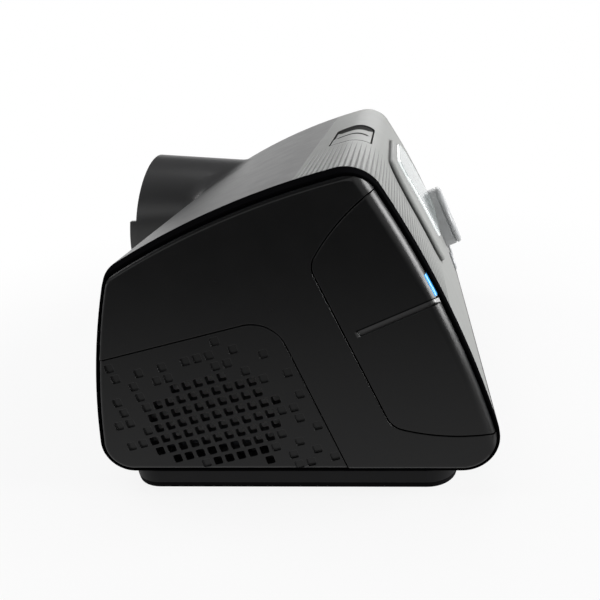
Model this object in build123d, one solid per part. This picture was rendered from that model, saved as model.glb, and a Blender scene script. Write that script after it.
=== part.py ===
from build123d import *
import math
import os

# Bedside positive-airway-pressure machine. All sizes in millimetres.
# X runs to the right end, Y to the rear, Z up; the origin is on the table, under the middle of the base.

# ---------------------------------------------------------------- outer body
half_width = 70.0             # middle of the body to the face of a side panel
panel_proud = 0.8             # the side panels stand this far out of their frames
frame_depth = 3.7             # end frame, along X
wall = 2.2                    # moulded shells
seam_gap = 0.3                # open seam round a moving cover

# End view of the body as (y, z) corners, with the middle of each bowed side.
rear_foot = (51.8, 5.3)
rear_bow = (50.3, 34.0)
rear_shoulder = (44.2, 62.1)
roof_bow = (10.9, 78.0)
brow = (-21.5, 87.1)
face_bow = (-42.5, 46.5)
front_foot = (-55.8, 5.3)
rear_foot_round = 9.0
rear_shoulder_round = 8.0
brow_round = 10.0
front_foot_round = 10.2

roof_seam_y = -4.5            # rear cover meets front fascia on the roof
face_seam_z = 22.0            # front fascia meets the tray at the front
rear_seam_z = 57.0            # rear cover meets the tray at the back
trim_end_z = 10.3             # lower end of the black front trims
face_split_y = -30.0          # the fascia's lower seam ends here, inside the hollow
rear_split_y = 20.0           # and the rear cover's seam here

# ---------------------------------------------------------------- base
sole_height = 1.6
plinth_front_y = -43.1
plinth_rear_y = 46.5
plinth_end_inset = 3.4        # from a side panel's face
plinth_corner = 9.0
plinth_draft = 0.3            # how much narrower the plinth is at its lower edge, each side
sole_draft = 0.3              # the same for the sole
sole_ring_width = 12.0        # band of rubber under the rim of the plinth

# ---------------------------------------------------------------- end frames and side panels
rim_round = 0.3
rim_land = 0.4                # flat land between the frame's rounded edge and its opening
mouth_inset = 1.4             # opening that a side panel fills
mouth_lift = 1.3              # its lower edge sits this much further in
mouth_shift_y = -0.65         # and the whole opening a little towards the front
flange_inset = 6.5            # shelf that a side panel is screwed against
flange_depth = 0.8
panel_gap = 0.1
panel_skin = 1.8              # thickness of the covers in the left panel
panel_depth = 3.7             # skin and backing together
panel_edge_round = 1.1

# ---------------------------------------------------------------- card cover, in the left panel
card_top = (-28.5, 84.3)      # past the panel's edge
card_top_bow = (-16.0, 74.7)
card_knee = (-7.5, 63.0)
card_heel = (-25.4, 20.2)
card_sill_bow = (-37.0, 17.7)
card_toe = (-56.0, 19.3)      # past the panel's edge
card_knee_round = 5.0
card_heel_round = 6.0
cover_seam_round = 0.25
groove_outer = (-38.2, 54.0)  # finger groove, centre line, at the front edge
groove_inner = (-18.6, 45.6)  # finger groove, where it fades out
groove_width = 1.5
groove_depth = 0.7
light_top = (-34.9, 60.4)     # light window along the front edge
light_foot = (-37.4, 55.0)
light_width = 1.0
light_depth = 1.5
region_past = 20.0            # regions of the covers run this far past the panel
groove_past = 6.0             # and the finger groove this far

# ---------------------------------------------------------------- card bay and memory card
bay_rim = 5.6                 # ledge round the bay, under the cover
bay_depth = 8.0               # from the panel's face to the bay floor
bay_wall = 1.2
bay_frame_gap = 1.0           # between the bay and the frame's shelf
card_width = 24.0
card_length = 32.0
card_thickness = 2.1
card_proud = 3.0              # the card stands this far out of the bay floor
card_clearance = 0.3
card_middle = (-30.5, 47.0)
card_round = 0.5
socket_wall = 1.0
socket_length = 31.0

# ---------------------------------------------------------------- filter cover, in the left panel
filter_rear = (49.0, 39.1)
filter_crest = (2.1, 50.4)
filter_foot = (-14.4, 8.4)
filter_crest_round = 9.0
grille_row_pitch = 3.18
grille_column_pitch = 3.22
grille_hole = 2.25
grille_hole_round = 0.4
grille_row_angle = 14.1       # rows climb towards the front
grille_column_angle = 66.2    # columns fall towards the front
grille_origin = (20.2, 20.6)
grille_rows = {               # first and last hole of each row, counted towards the front
    -4: (-1, 3), -3: (-3, 5), -2: (-4, 5), -1: (-4, 6), 0: (-5, 5),
    1: (-5, 5), 2: (-4, 4), 3: (-1, 3), 4: (3, 3),
}
dimple_rows = {               # places of the stray dimples in each row
    -7: (-5, 4), -6: (-5, -3, -1, 1, 2, 3, 5), -5: (-4, -2, -1, 3, 4, 7), -4: (-6, -4, 5),
    -3: (-6, -4, 6, 8), -2: (-7, -6), -1: (-5, 8), 0: (-7, -6, 6, 7), 1: (7,),
    2: (5, 8), 3: (-2, 4, 6), 4: (5, 7), 5: (5, 6, 8),
}
dimple_depth = 0.5
filter_window_rim = 6.0
filter_pad_depth = 5.0
filter_pad_rim = 4.0
filter_pad_gap = 0.1
filter_frame_gap = 2.5        # between the pad and the frame's shelf
cover_tab_length = 7.0
cover_tab_width = 2.0
cover_tab_drop = 3.6          # below the cover's upper edge
cover_tab_shares = (0.3, 0.75)    # places along that edge

# ---------------------------------------------------------------- air outlet at the back
outlet_from_end = 23.5        # middle of the outlet to the right panel's face
outlet_z = 49.5
shroud_root_y = 24.0
shroud_end_y = 77.0
shroud_mouth_y = 70.0         # uppermost point of the mouth
shroud_mouth_radius = 23.0
shroud_taper = 5.7            # degrees, opens towards the mouth
shroud_rake = 8.5             # degrees, mouth leans back from top to bottom
shroud_blend = 10.0
shroud_seam_radius = 33.0     # round seam between the cover and the tray, on the rear wall
outlet_radius = 11.0          # the spigot that a hose cuff slides over
spigot_length = 22.0
outlet_root_radius = 10.8
outlet_bore = 9.2
outlet_end_y = 81.6
outlet_inner_y = 44.0
outlet_flange_radius = 14.0
outlet_flange_thickness = 2.0
bulkhead_y = 56.0
bulkhead_thickness = 2.0
outlet_end_round = 0.5
boot_radius = 13.2
boot_end_y = 53.0

# ---------------------------------------------------------------- screen
screen_middle_x = 3.5
screen_middle_z = 64.0
screen_length = 43.0
screen_height = 28.0
screen_corner = 6.0
screen_proud = 2.3
screen_edge_round = 0.9
bezel_proud = 1.5             # raised field of the fascia round the window
bezel_margin = 2.5
bezel_wing = 17.0             # the same towards the left
bezel_corner = 8.0
bezel_wing_round = 15.0       # upper left corner
bezel_edge_round = 0.9
screen_lip = 1.6
screen_lip_thickness = 1.0
screen_fit = 0.15
display_rim = 3.0             # display inside the window's outline
display_thickness = 6.4
display_gap = 1.2             # foam between the window and the display
face_board_height = 58.5
face_board_corner = 2.0
face_cut = 12.0               # half length of the cuts through the face
switch_size = 6.0
switch_clearance = 0.1

# ---------------------------------------------------------------- dial and buttons
dial_x = 42.0
dial_z = 42.5
dial_radius = 12.0
dial_height = 6.2             # above the fascia
dial_well = 3.4               # below the fascia
dial_clearance = 0.4
dial_travel = 0.8
dial_edge_round = 1.2
dial_groove_width = 0.6
dial_groove_depth = 0.5
dial_groove_below = 1.7       # groove below the dial's face
dial_dish_depth = 0.5
dial_hub_radius = 5.0
dial_wall = 1.8
dial_skin = 2.2               # between the dial's hollow and its face
dial_slider_gap = 0.35
dial_slider_height = 1.0
shaft_radius = 3.0
shaft_clearance = 0.05
shaft_reach = 6.2             # below the dial's underside
encoder_size = 12.0
encoder_corner = 1.0
button_radius = 3.6
button_z = 27.2
button_spread = 8.5           # from the dial's middle line to each button
button_proud = 0.8
button_travel = 0.6
button_clearance = 0.3
button_flange = 1.0
button_flange_height = 1.0
button_edge_round = 0.5

# ---------------------------------------------------------------- start and stop key, a tongue in the roof
key_root_x = -24.0
key_straight_x = 5.0
key_tip_x = 11.0
key_rear_y = -9.6
key_front_y = -21.4
key_gap = 0.5
key_skin = 2.0
key_step_x = -13.5            # the finger rest starts here, beside the slits
key_step_tip_x = -9.0
key_step_depth = 0.4
roof_cut_z = 70.0             # cuts through the roof start here

# ---------------------------------------------------------------- ribs of the fascia
rib_pitch = 1.3
rib_depth = 0.34
rib_roof_run = 47.0           # ribs fade out this far from the left end, on the roof
rib_face_run = 33.0           # and this far low on the face
rib_run_low_z = 64.0          # the change from one to the other starts here
rib_run_high_z = 80.0         # and ends here
rib_last_z = 50.0

# ---------------------------------------------------------------- blower
blower_from_outlet = 17.5     # along X
blower_y = 4.0
scroll_radius = 25.0
scroll_height = 24.0
scroll_wall = 2.0
scroll_edge_round = 6.0
scroll_duct_radius = 10.5
scroll_duct_reach = 6.0       # past the drum
scroll_inlet_radius = 6.5
impeller_radius = 20.0
impeller_plate = 1.2
impeller_blade_height = 7.0
impeller_blade_thickness = 1.0
impeller_blades = 9
impeller_hub_radius = 5.0
blade_root_radius = 4.5
blade_bow_angle = -12.0
blade_tip_angle = -38.0
motor_radius = 15.0
motor_height = 18.0
motor_floor = 2.0
motor_edge_round = 2.0
motor_shaft_gap = 1.0         # between the shaft's foot and the motor's floor
motor_shaft_radius = 1.5
motor_shaft_clearance = 0.05
mount_radius = 4.0
mount_circle = 11.0
mount_count = 3

# ---------------------------------------------------------------- inlet muffler
muffler_wall = 1.5
muffler_port_gap = 1.0        # between the muffler's inner end and the data port
foam_start = 12.0             # from the panel's face
foam_gap = 1.5
foam_end_gap = 8.0
elbow_radius = 7.5
elbow_wall = 1.5
elbow_bend = 8.2
elbow_lead = 16.0             # from the muffler to the rise
elbow_low_y = 10.0
elbow_low_z = 30.0
elbow_top_z = 69.9

# ---------------------------------------------------------------- electronics
board_thickness = 1.6
board_muffler_gap = 12.0      # between the muffler's inner end and the board
board_end_gap = 10.0          # between the board and the right panel's face
board_front_y = -38.0
board_rear_y = 40.0
board_hole_gap = 1.0
board_blocks = (              # middle x, middle y, side and height of each large part on the board
    (-4.0, 24.0, 12.0, 7.0), (-6.0, -20.0, 10.0, 6.0), (54.0, -24.0, 9.0, 8.0), (14.0, 33.0, 7.0, 7.0),
)
jack_from_outlet = 40.5       # along X
jack_z = 24.0
jack_radius = 5.5
jack_wall = 1.6
jack_depth = 12.0
jack_recess = 0.4
jack_pins = 3
jack_pin_circle = 2.6
jack_pin_radius = 0.8
jack_pin_length = 4.0
port_from_jack = 23.0         # along X
port_z = 26.0
port_length = 20.0
port_height = 10.0
port_corner = 2.0
port_wall = 2.0
port_depth = 11.0
port_cover_gap = 0.3
port_plug_gap = 0.5
port_plug_reach = 2.5
screw_end_inset = 16.0        # from a side panel's face
screw_front_y = -31.0
screw_rear_y = 33.0
screw_head_radius = 2.6
screw_head_height = 1.8
screw_head_recess = 0.3
screw_shank_radius = 1.4
screw_length = 8.0
screw_tip_gap = 1.0

# ---------------------------------------------------------------- worked-out places
frame_face = half_width - panel_proud
shell_half = frame_face - frame_depth
plinth_half_width = half_width - plinth_end_inset
screw_x = half_width - screw_end_inset
outlet_x = half_width - outlet_from_end
blower_x = outlet_x - blower_from_outlet
jack_x = outlet_x - jack_from_outlet
port_x = jack_x - port_from_jack
muffler_end_x = port_x - port_length / 2 - muffler_port_gap
muffler_depth = half_width + muffler_end_x
elbow_rise_x = muffler_end_x + elbow_lead
board_left_x = muffler_end_x + board_muffler_gap
board_right_x = half_width - board_end_gap
underside = rear_foot[1]
far = 200.0                   # longer than anything on the body
past = 1.0                    # cutters run this far past what they cut


def circle_through(first, middle, last):
    """Centre and radius of the arc through three (y, z) points."""
    arc = ThreePointArc(first, middle, last)
    return arc.arc_center, arc.radius


face_centre, face_radius = circle_through(brow, face_bow, front_foot)
roof_centre, roof_radius = circle_through(rear_shoulder, roof_bow, brow)
rear_centre, rear_radius = circle_through(rear_foot, rear_bow, rear_shoulder)


def rounded(outline, corner, radius):
    """Round the corner of a flat outline that lies nearest to the given point."""
    nearest = outline.vertices().sort_by_distance((corner[0], corner[1], 0))[0]
    return fillet(nearest, radius)


def disc(centre, radius):
    """Disc about a (y, z) centre."""
    return Pos(centre.X, centre.Y) * Circle(radius)


def body_outline(drawn_in, lift=0.0):
    """End view of the body drawn in all round, its floor lifted by lift: sketch x is y, sketch y is z."""
    floor = underside + drawn_in + lift
    outline = Pos(0, floor + far / 2) * Rectangle(far, far)
    outline &= disc(face_centre, face_radius - drawn_in)
    outline &= disc(roof_centre, roof_radius - drawn_in)
    outline &= disc(rear_centre, rear_radius - drawn_in)
    corners = (
        (rear_foot, rear_foot_round), (rear_shoulder, rear_shoulder_round),
        (brow, brow_round), (front_foot, front_foot_round),
    )
    for corner, radius in corners:
        if radius - drawn_in > wall / 4:
            outline = rounded(outline, corner, radius - drawn_in)
    return outline


def inset(outline, amount):
    """A region's outline set in by an amount."""
    return offset(outline, amount=-amount)


def slab(outline, low_x, high_x):
    """Carry an end-view outline along X between two places."""
    return extrude(Plane.YZ.offset(low_x) * outline, amount=high_x - low_x)


def from_left(outline, start, end):
    """Carry an end-view outline inwards from the left panel's face, between two depths."""
    return slab(outline, start - half_width, end - half_width)


def band(points, low_x=-far, high_x=far):
    """Straight-sided region of the end view, carried along X."""
    return slab(make_face(Polyline(*points, close=True)), low_x, high_x)


def face_plane(x, z):
    """Plane on the front face at a place: its normal points out of the body, its y up the slope."""
    y = face_centre.X - math.sqrt(face_radius**2 - (z - face_centre.Y) ** 2)
    normal = Vector(0, y - face_centre.X, z - face_centre.Y).normalized()
    return Plane(origin=(x, y, z), x_dir=(1, 0, 0), z_dir=normal)


def plane_axis(plane):
    """Axis along a plane's normal, for sorting."""
    return Axis(plane.origin, plane.z_dir)


def rear_y_at(z):
    """Where the rear wall is at a height."""
    return rear_centre.X + math.sqrt(rear_radius**2 - (z - rear_centre.Y) ** 2)


def roof_z_at(y):
    """How high the roof is at a place."""
    return roof_centre.Y + math.sqrt(roof_radius**2 - (y - roof_centre.X) ** 2)


def skin(low, high, low_x=-shell_half, high_x=shell_half):
    """Layer of the body between two insets; a negative inset stands proud."""
    return slab(body_outline(low), low_x, high_x) - slab(body_outline(high), low_x - past, high_x + past)


def post(radius, height):
    """Upright cylinder that stands on its place."""
    return Cylinder(radius, height, align=(Align.CENTER, Align.CENTER, Align.MIN))


def write(name, shape):
    """Write one node."""
    export_step(shape, f"parts/{name}.step")


# ---------------------------------------------------------------- base: sole and tray
def plinth_section(z, drawn_in):
    """Rounded rectangle of the plinth at a height, drawn in on every side."""
    length = 2 * (plinth_half_width - drawn_in)
    depth = plinth_rear_y - plinth_front_y - 2 * drawn_in
    middle_y = (plinth_rear_y + plinth_front_y) / 2
    return Pos(0, middle_y, z) * RectangleRounded(length, depth, plinth_corner - drawn_in)


def make_sole():
    """Rubber band glued under the rim of the plinth, with a cross-bar."""
    outer = loft([plinth_section(sole_height, plinth_draft), plinth_section(0, plinth_draft + sole_draft)])
    window_half = plinth_half_width - sole_ring_width
    window_depth = plinth_rear_y - plinth_front_y - 2 * sole_ring_width
    middle_y = (plinth_rear_y + plinth_front_y) / 2
    windows = Sketch()
    for side in (-1, 1):
        width = window_half - sole_ring_width
        middle_x = side * (window_half + sole_ring_width) / 2
        windows += Pos(middle_x, middle_y) * RectangleRounded(width, window_depth, plinth_corner / 2)
    return outer - extrude(windows, amount=sole_height)


def shroud_cone(clear):
    """Cone of the outlet shroud, set in by clear, cut at the raked mouth."""
    slope = math.tan(math.radians(shroud_taper))
    root = shroud_mouth_radius - (shroud_mouth_y - shroud_root_y) * slope - clear
    end = shroud_mouth_radius + (shroud_end_y - shroud_mouth_y) * slope - clear
    length = shroud_end_y - shroud_root_y
    axis = Plane(origin=(outlet_x, shroud_root_y, outlet_z), z_dir=(0, 1, 0))
    cone = Solid.make_cone(root, end, length, axis)
    top = outlet_z + shroud_mouth_radius
    mouth = Plane(origin=(outlet_x, shroud_mouth_y, top), x_dir=(1, 0, 0), z_dir=(0, 1, 0))
    mouth = mouth.rotated((shroud_rake, 0, 0))
    return Part() + cone, extrude(mouth * Rectangle(far, far), amount=far)


def screw_places():
    """Where the four case screws stand under the plinth."""
    return [Pos(x, y, sole_height) for x in (-screw_x, screw_x) for y in (screw_front_y, screw_rear_y)]


def jack_plane():
    """Mouth of the power inlet, facing straight back."""
    return Plane(origin=(jack_x, rear_y_at(jack_z), jack_z), x_dir=(-1, 0, 0), z_dir=(0, 1, 0))


def port_plane():
    """Mouth of the data port, facing straight back."""
    return Plane(origin=(port_x, rear_y_at(port_z), port_z), x_dir=(-1, 0, 0), z_dir=(0, 1, 0))


def make_tray():
    """Lower case: floor, plinth, rear wall and chin in one moulding."""
    lower = band([
        (-far, -far), (-far, face_seam_z), (face_split_y, face_seam_z), (rear_split_y, rear_seam_z),
        (far, rear_seam_z), (far, -far),
    ])
    shell = skin(0, wall) & lower
    plinth = loft([plinth_section(sole_height, plinth_draft), plinth_section(underside, 0)])
    hollow = loft([
        plinth_section(sole_height + wall, plinth_draft + wall),
        plinth_section(underside + wall, wall),
    ])
    tray = shell + plinth - hollow
    for place in screw_places():
        boss = Pos(0, 0, wall) * post(screw_head_radius + wall, screw_length)
        hole = post(screw_head_radius + seam_gap, wall) + post(screw_shank_radius, screw_length)
        tray = tray + place * boss - place * hole
    tray -= shroud_seam()
    tray -= extrude(jack_plane() * Circle(jack_radius + jack_wall), amount=wall * 2, both=True)
    port_hole = RectangleRounded(port_length, port_height, port_corner)
    return tray - extrude(port_plane() * port_hole, amount=wall * 2, both=True)


def make_case_screws():
    """Four screws driven up from under the plinth."""
    screws = Part()
    for place in screw_places():
        head = post(screw_head_radius, screw_head_height)
        shank = post(screw_shank_radius, screw_length - screw_tip_gap)
        screws += place * Pos(0, 0, screw_head_recess) * (head + shank)
    return screws


# ---------------------------------------------------------------- rear cover with the outlet shroud
def shroud_seam():
    """Round region of the rear wall that belongs to the cover, about the outlet."""
    axis = Plane(origin=(outlet_x, shroud_root_y, outlet_z), z_dir=(0, 1, 0))
    return extrude(axis * Circle(shroud_seam_radius), amount=far)


def cover_region():
    """Region of the rear cover: the roof behind the seam and the round about the outlet."""
    seam_y = roof_seam_y
    under_seam = roof_z_at(seam_y) - 3 * wall
    roof = band([
        (seam_y, far), (seam_y, under_seam), (rear_split_y, rear_seam_z), (far, rear_seam_z), (far, far),
    ])
    return roof + shroud_seam()


def make_rear_cover():
    """Grey cover of the sloping roof, drawn out at the back into a round socket for the hose."""
    cone, beyond = shroud_cone(0)
    bore, _ = shroud_cone(wall)
    long_body = slab(body_outline(0), -shell_half, far)
    blended = long_body + (cone - beyond)
    root = [edge for edge in blended.edges() if edge.geom_type == GeomType.BSPLINE]
    blended = fillet(root, shroud_blend)
    hollow = slab(body_outline(wall), -far, far) + bore
    inside_ends = band([(-far, -far), (far, -far), (far, far), (-far, far)], -far, shell_half)
    cover = (blended - hollow) & cover_region() & inside_ends
    cover += (cone - beyond) - bore - long_body - inside_ends
    axis = Plane(origin=(outlet_x, bulkhead_y, outlet_z), z_dir=(0, 1, 0))
    cover += extrude(axis * Circle(far / 2), amount=bulkhead_thickness) & cone
    return cover - extrude(axis * Circle(outlet_root_radius), amount=bulkhead_thickness)


def make_outlet_tube():
    """Rigid hose connector with a spigot of standard size, held by a flange behind the bulkhead."""
    axis = Plane(origin=(outlet_x, outlet_inner_y, outlet_z), z_dir=(0, 1, 0))
    length = outlet_end_y - outlet_inner_y
    tube = extrude(axis * Circle(outlet_root_radius), amount=length - outlet_end_round - spigot_length)
    tube += extrude(axis.offset(length) * Circle(outlet_radius), amount=-outlet_end_round - spigot_length)
    flange_plane = axis.offset(bulkhead_y - outlet_flange_thickness - outlet_inner_y)
    tube += extrude(flange_plane * Circle(outlet_flange_radius), amount=outlet_flange_thickness)
    tube -= extrude(axis * Circle(outlet_bore), amount=far)
    end_edges = tube.edges().filter_by(GeomType.CIRCLE).sort_by(Axis.Y)[-2:]
    return fillet(end_edges, outlet_end_round)


def make_outlet_boot():
    """Silicone boot between the blower's outlet and the hose connector."""
    axis = Plane(origin=(outlet_x, 0, outlet_z), z_dir=(0, 1, 0))
    start = blower_y + scroll_radius
    boot = extrude(axis.offset(start) * Circle(boot_radius), amount=boot_end_y - start)
    boot -= extrude(axis.offset(outlet_inner_y) * Circle(outlet_root_radius), amount=far)
    boot -= extrude(axis * Circle(outlet_bore), amount=far)
    boot -= extrude(axis * Circle(scroll_duct_radius), amount=start + scroll_duct_reach)
    return boot


# ---------------------------------------------------------------- front fascia
def screen_sketch(grow):
    """Outline of the screen window in the face's own plane."""
    return RectangleRounded(screen_length + 2 * grow, screen_height + 2 * grow, screen_corner + grow)


def screen_plane():
    """Plane on the face at the middle of the screen."""
    return face_plane(screen_middle_x, screen_middle_z)


def screen_prism(grow):
    """Screen outline carried through the face."""
    return extrude(screen_plane() * screen_sketch(grow), amount=face_cut, both=True)


def bezel_sketch():
    """Outline of the raised field round the window, drawn out to the left."""
    left = -screen_length / 2 - bezel_wing
    right = screen_length / 2 + bezel_margin
    top = screen_height / 2 + bezel_margin
    field = Pos((left + right) / 2, 0) * Rectangle(right - left, 2 * top)
    field = rounded(field, (left, top), bezel_wing_round)
    for corner in ((left, -top), (right, top), (right, -top)):
        field = rounded(field, corner, bezel_corner)
    return field


def make_bezel():
    """Raised field round the window with a softened edge; it follows the bow of the face."""
    bezel = skin(-bezel_proud, wall) & extrude(screen_plane() * bezel_sketch(), amount=face_cut, both=True)
    outer_face = bezel.faces().sort_by(plane_axis(screen_plane()))[-1]
    return fillet(outer_face.edges(), bezel_edge_round)


def key_outline(grow):
    """Plan view of the start key: straight sides and a curved free end."""
    rear = key_rear_y + grow
    front = key_front_y - grow
    middle = (key_rear_y + key_front_y) / 2
    straight = key_straight_x
    tip = ThreePointArc((straight, rear), (key_tip_x + grow, middle), (straight, front))
    root = key_root_x - grow
    back = Polyline((straight, front), (root, front), (root, rear), (straight, rear))
    return make_face([tip, *back.edges()])


def key_prism(grow):
    """Start key's outline carried down through the roof."""
    return extrude(Plane.XY.offset(roof_cut_z) * key_outline(grow), amount=far)


def button_planes():
    """Places of the two small buttons, on the face below the dial."""
    return [face_plane(dial_x + side * button_spread, button_z) for side in (-1, 1)]


def rib_marks():
    """Places of the ribs on the profile as (y, z), with their outward normals: roof, brow and face."""
    marks = []
    for edge in body_outline(0).edges().filter_by(GeomType.CIRCLE):
        if not any(abs(edge.radius - radius) < 0.01 for radius in (roof_radius, brow_round, face_radius)):
            continue
        count = int(edge.length / rib_pitch)
        for step in range(count):
            spot = edge @ ((step + 0.5) / count)
            if spot.X < roof_seam_y - rib_pitch / 2 and spot.Y > rib_last_z:
                marks.append((spot, (spot - edge.arc_center).normalized()))
    return marks


def rib_run(z):
    """How far a rib runs in from the left end at a height: less and less down the face."""
    share = (z - rib_run_low_z) / (rib_run_high_z - rib_run_low_z)
    return rib_face_run + (rib_roof_run - rib_face_run) * min(max(share, 0), 1)


def rib_groove(spot, normal):
    """V-shaped groove between two ribs; it climbs out of the surface and fades to nothing."""
    along = Vector(-normal.Y, normal.X)
    lip = 0.05
    corners = [
        spot + normal * lip + along * rib_pitch / 2,
        spot + normal * lip - along * rib_pitch / 2,
        spot - normal * rib_depth,
    ]
    start = -shell_half - lip
    mouth = make_face(Polyline(*[(start, corner.X, corner.Y) for corner in corners], close=True))
    point = spot + normal * lip
    return loft([mouth, Vertex(start + rib_run(spot.Y), point.X, point.Y)])


def rib_grooves():
    """All grooves between the ribs of the fascia."""
    return [rib_groove(spot, normal) for spot, normal in rib_marks()]


def make_fascia():
    """Silver front shell over the brow and down the face, with its ribs, raised field and openings."""
    region = band([
        (roof_seam_y, far), (roof_seam_y, roof_z_at(roof_seam_y) - 3 * wall), (face_split_y, face_seam_z),
        (-far, face_seam_z), (-far, far),
    ])
    fascia = (skin(0, wall) & region) - rib_grooves()
    fascia += make_bezel()
    fascia -= screen_prism(screen_fit)
    dial_hole = face_plane(dial_x, dial_z) * Circle(dial_radius + dial_clearance)
    fascia -= extrude(dial_hole, amount=face_cut, both=True)
    for plane in button_planes():
        fascia -= extrude(plane * Circle(button_radius + button_clearance), amount=face_cut, both=True)
    return fascia - key_prism(key_gap)


def make_start_key():
    """Flexing tongue of the roof that starts and stops the machine, with a finger scoop."""
    key = skin(0, key_skin) & key_prism(0)
    middle_y = (key_rear_y + key_front_y) / 2
    rear = (key_step_x, key_rear_y)
    front = (key_step_x, key_front_y)
    rest_edge = ThreePointArc(rear, (key_step_tip_x, middle_y), front)
    rest_sides = Polyline(front, (far, -far), (far, far), rear)
    rest = make_face([rest_edge, *rest_sides.edges()])
    key -= skin(-past, key_step_depth) & extrude(Plane.XY.offset(roof_cut_z) * rest, amount=far)
    return key - rib_grooves()


def make_screen_window():
    """Clear window that follows the bow of the face, held from behind by a lip."""
    window = skin(-screen_proud, wall) & screen_prism(0)
    outer_face = window.faces().sort_by(plane_axis(screen_plane()))[-1]
    window = fillet(outer_face.edges(), screen_edge_round)
    window += skin(wall, wall + screen_lip_thickness) & screen_prism(screen_lip)
    return window


def make_display():
    """Display module behind the window."""
    module = Rectangle(screen_length - 2 * display_rim, screen_height - 2 * display_rim)
    return extrude(screen_plane().offset(-board_depth()) * module, amount=display_thickness)


def board_depth():
    """How far the face board's front lies behind the screen's face."""
    return wall + screen_lip_thickness + display_gap + display_thickness


def before_board():
    """Space between the face and the face board, for parts that stand on the board."""
    return extrude(screen_plane().offset(-board_depth()) * Rectangle(far, far), amount=far)


def make_face_board():
    """Board behind the face with the display, the encoder and a switch under each button."""
    left = -screen_length / 2
    right = dial_x + dial_radius - screen_middle_x
    top = screen_height / 2
    middle = Pos((left + right) / 2, top - face_board_height / 2)
    outline = middle * RectangleRounded(right - left, face_board_height, face_board_corner)
    board = extrude(screen_plane().offset(-board_depth()) * outline, amount=-board_thickness)
    for button in button_planes():
        foot = button.offset(button_base() - button_travel - switch_clearance)
        switch = extrude(foot * Rectangle(switch_size, switch_size), amount=-far)
        board += switch & before_board()
    return board


# ---------------------------------------------------------------- push dial
def dial_base():
    """Underside of the dial, measured from the face."""
    return -dial_well + dial_travel + dial_slider_gap


def make_dial():
    """Push dial with a dished face, a rounded rim and a thin groove round its edge."""
    plane = face_plane(dial_x, dial_z)
    base = plane.offset(dial_base())
    depth = dial_height - dial_base()
    dial = extrude(base * Circle(dial_radius), amount=depth)
    rim = dial.edges().filter_by(GeomType.CIRCLE).sort_by(plane_axis(plane))[-1]
    dial = fillet(rim, dial_edge_round)
    top = plane.offset(dial_height)
    ring = Circle(far) - Circle(dial_radius - dial_groove_depth)
    dial -= extrude(top.offset(-dial_groove_below) * ring, amount=-dial_groove_width)
    dish_radius = dial_radius**2 / (2 * dial_dish_depth)
    dial -= Location(top.offset(dish_radius - dial_dish_depth)) * Sphere(dish_radius)
    hollow = Circle(dial_radius - dial_wall) - Circle(dial_hub_radius)
    dial -= extrude(base * hollow, amount=depth - dial_skin)
    return dial - extrude(base * Circle(shaft_radius), amount=depth - dial_skin)


def make_dial_shaft():
    """Shaft of the encoder, pressed into the dial; it turns and sinks with it."""
    plane = face_plane(dial_x, dial_z)
    foot = dial_base() - shaft_reach
    return extrude(plane.offset(foot) * Circle(shaft_radius), amount=dial_height - dial_skin - foot)


def make_dial_slider():
    """Collar that carries the dial's push down to the switch without turning."""
    plane = face_plane(dial_x, dial_z)
    collar = Circle(dial_hub_radius) - Circle(shaft_radius + shaft_clearance)
    return extrude(plane.offset(dial_base() - dial_slider_gap) * collar, amount=-dial_slider_height)


def make_encoder():
    """Rotary encoder with a push switch, soldered to the face board."""
    plane = face_plane(dial_x, dial_z)
    top = plane.offset(dial_base() - dial_slider_gap - dial_slider_height - dial_travel - dial_slider_gap)
    housing = extrude(top * RectangleRounded(encoder_size, encoder_size, encoder_corner), amount=-far)
    housing &= before_board()
    bore = plane.offset(dial_base() - shaft_reach - dial_travel - dial_slider_gap)
    return housing - extrude(bore * Circle(shaft_radius + shaft_clearance), amount=far)


# ---------------------------------------------------------------- menu buttons
def button_base():
    """Underside of a button's flange, measured from the face."""
    return -wall - seam_gap - button_flange_height


def make_button(plane):
    """Small round button with a flange that keeps it behind the fascia."""
    foot = plane.offset(button_base())
    flange = extrude(foot * Circle(button_radius + button_flange), amount=button_flange_height)
    cap = extrude(foot * Circle(button_radius), amount=button_proud - button_base())
    rim = cap.edges().filter_by(GeomType.CIRCLE).sort_by(plane_axis(plane))[-1]
    return fillet(rim, button_edge_round) + flange


# ---------------------------------------------------------------- end frames
def mouth_outline(gap):
    """Opening of an end frame, in the end view, drawn in by a gap."""
    return Pos(mouth_shift_y, 0) * body_outline(mouth_inset + gap, mouth_lift)


def make_end_ring():
    """Black frame round the right end, tapered to its opening, with a shelf for the panel."""
    inner_end = Plane.YZ.offset(shell_half) * body_outline(0)
    outer_end = Plane.YZ.offset(frame_face) * mouth_outline(-rim_land - rim_round)
    block = loft([inner_end, outer_end])
    outer_face = block.faces().sort_by(Axis.X)[-1]
    block = fillet(outer_face.edges(), rim_round)
    block -= slab(mouth_outline(0), shell_half + flange_depth, far)
    return block - slab(body_outline(flange_inset), -far, far)


def trim_region():
    """Part of the end view that the front trims cover, from the roof seam round to the chin."""
    return band([(-far, trim_end_z), (roof_seam_y, trim_end_z), (roof_seam_y, far), (-far, far)])


def make_right_panel():
    """Plain right side panel."""
    panel = slab(mouth_outline(panel_gap), shell_half + flange_depth, half_width)
    outer_face = panel.faces().sort_by(Axis.X)[-1]
    return fillet(outer_face.edges(), panel_edge_round)


# ---------------------------------------------------------------- left panel and what it holds
def card_outline():
    """Region of the card cover in the end view; its front side runs past the panel."""
    top = ThreePointArc(card_top, card_top_bow, card_knee)
    back = Line(card_knee, card_heel)
    sill = ThreePointArc(card_heel, card_sill_bow, card_toe)
    end = card_toe[0] - region_past
    front = Polyline(card_toe, (end, card_toe[1]), (end, card_top[1] + region_past), card_top)
    region = make_face([top, back, sill, *front.edges()])
    region = rounded(region, card_knee, card_knee_round)
    return rounded(region, card_heel, card_heel_round)


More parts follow.
